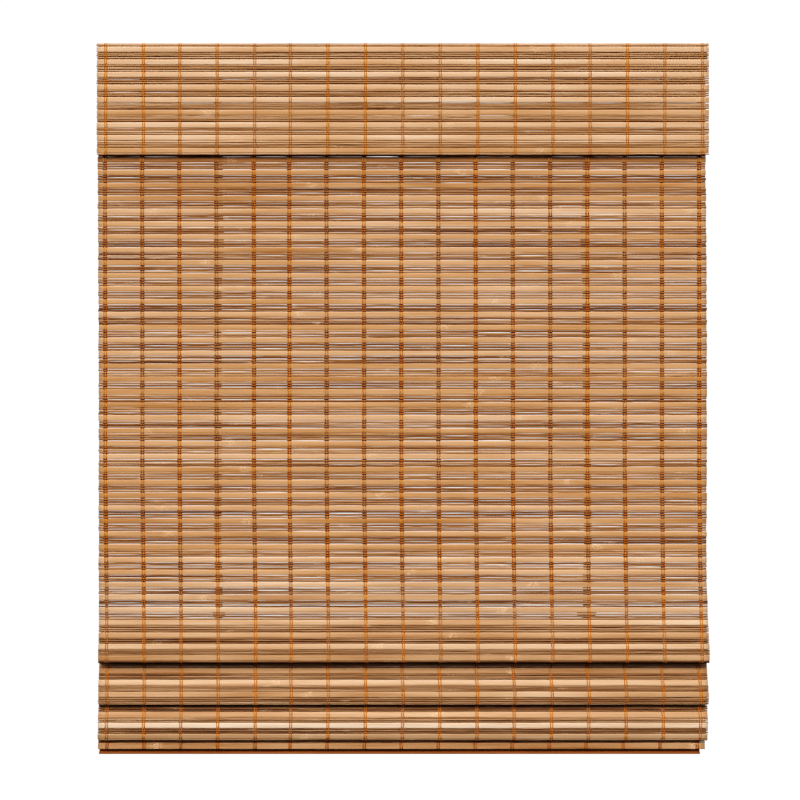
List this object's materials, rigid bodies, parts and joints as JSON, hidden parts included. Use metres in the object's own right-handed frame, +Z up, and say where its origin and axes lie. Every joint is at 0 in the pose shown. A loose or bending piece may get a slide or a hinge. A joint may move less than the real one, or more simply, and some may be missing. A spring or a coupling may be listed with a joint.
{
  "type": "roman shade",
  "caption": "Flat woven bamboo roman shade with a valance, soft folds stacked above a wood bottom rail, and a spring lift in a steel headrail on screw-up brackets.",
  "frame": {"origin": "centre of the ceiling screw holes, on the top face of the brackets", "axes": "X along the headrail to the right as seen from the room, +Y back to the wall, +Z up"},
  "size_m": [0.812, 0.0592, 0.9438],
  "materials": {
    "woven_bamboo": "natural woven bamboo slats and sticks bound with thread",
    "bamboo_batten": "plain wood batten",
    "white_steel": "white baked enamel",
    "zinc_steel": "zinc plated",
    "ivory_plastic": "moulded, satin",
    "clear_plastic": "moulded loop, translucent",
    "black_plastic": "moulded motor case",
    "white_acetal": "moulded gears and pulleys",
    "spring_steel": "blued strip",
    "brown_tape": "woven brown sleeve",
    "cord_braid": "braided polyester cord"
  },
  "bodies": {
    "headrail": {"headrail_channel": "white_steel", "end_cap_left": "ivory_plastic", "end_cap_right": "ivory_plastic", "bracket_left": "zinc_steel", "bracket_right": "zinc_steel", "valance_strip": "bamboo_batten", "valance_cloth": "woven_bamboo", "valance_screws": "zinc_steel", "shade_upper": "woven_bamboo", "shade_middle": "woven_bamboo", "cord_loops_row_1": "clear_plastic", "lift_cord_left": "cord_braid", "lift_cord_right": "cord_braid", "cord_shroud_left": "brown_tape", "cord_shroud_right": "brown_tape", "cord_guide_left": "ivory_plastic", "cord_guide_right": "ivory_plastic", "pulley_pins": "zinc_steel", "motor_base": "black_plastic", "motor_cover": "black_plastic", "motor_screws": "zinc_steel", "motor_axles": "zinc_steel", "flat_spring": "spring_steel"},
    "fold_stack": {"shade_folds": "woven_bamboo", "bottom_rail": "bamboo_batten", "cord_anchor_left": "ivory_plastic", "cord_anchor_right": "ivory_plastic", "cord_loops_stack": "clear_plastic"},
    "loop_row_2": {"cord_loops_row_2": "clear_plastic"},
    "loop_row_3": {"cord_loops_row_3": "clear_plastic"},
    "spool_left": {"spool_left": "white_acetal", "wound_cord_left": "cord_braid"},
    "output_drum": {"output_drum": "white_acetal"},
    "storage_drum": {"storage_drum": "white_acetal"},
    "spool_right": {"spool_right": "white_acetal", "wound_cord_right": "cord_braid"},
    "pulley_left": {"pulley_left": "white_acetal"},
    "pulley_right": {"pulley_right": "white_acetal"}
  },
  "joints": [
    {"name": "shade_lift", "type": "slide", "parent": "headrail", "child": "fold_stack", "axis": [0, 0, 1], "range_m": [0, 0.46], "deforming": ["shade_middle", "lift_cord_left", "lift_cord_right", "cord_shroud_left", "cord_shroud_right", "flat_spring"]},
    {"name": "row_2_lift", "type": "slide", "parent": "headrail", "child": "loop_row_2", "axis": [0, 0, 1], "range_m": [0, 0.16]},
    {"name": "row_3_lift", "type": "slide", "parent": "headrail", "child": "loop_row_3", "axis": [0, 0, 1], "range_m": [0, 0.31]},
    {"name": "spool_left_turn", "type": "hinge", "parent": "headrail", "child": "spool_left", "pos_m": [-0.042, 0, -0.0225], "axis": [0, 0, 1], "range_deg": [0, 3069.66]},
    {"name": "output_drum_turn", "type": "hinge", "parent": "headrail", "child": "output_drum", "pos_m": [-0.014, 0, -0.0225], "axis": [0, 0, 1], "range_deg": [-3069.66, 0]},
    {"name": "storage_drum_turn", "type": "hinge", "parent": "headrail", "child": "storage_drum", "pos_m": [0.014, 0, -0.0225], "axis": [0, 0, 1], "range_deg": [0, 3069.66]},
    {"name": "spool_right_turn", "type": "hinge", "parent": "headrail", "child": "spool_right", "pos_m": [0.042, 0, -0.0225], "axis": [0, 0, 1], "range_deg": [-3069.66, 0]},
    {"name": "pulley_left_turn", "type": "hinge", "parent": "headrail", "child": "pulley_left", "pos_m": [-0.2404, -0.0086, -0.026], "axis": [0, 1, 0], "range_deg": [0, 4397.68]},
    {"name": "pulley_right_turn", "type": "hinge", "parent": "headrail", "child": "pulley_right", "pos_m": [0.2404, -0.0086, -0.026], "axis": [0, 1, 0], "range_deg": [-4397.68, 0]}
  ],
  "couplings": [
    {"joint": "row_2_lift", "follows": "shade_lift", "ratio": 0.33333},
    {"joint": "row_3_lift", "follows": "shade_lift", "ratio": 0.66667},
    {"joint": "spool_left_turn", "follows": "shade_lift", "rad_per_m": 116.28},
    {"joint": "output_drum_turn", "follows": "shade_lift", "rad_per_m": -116.28},
    {"joint": "storage_drum_turn", "follows": "shade_lift", "rad_per_m": 116.28},
    {"joint": "spool_right_turn", "follows": "shade_lift", "rad_per_m": -116.28},
    {"joint": "pulley_left_turn", "follows": "shade_lift", "rad_per_m": 166.67},
    {"joint": "pulley_right_turn", "follows": "shade_lift", "rad_per_m": -166.67}
  ]
}
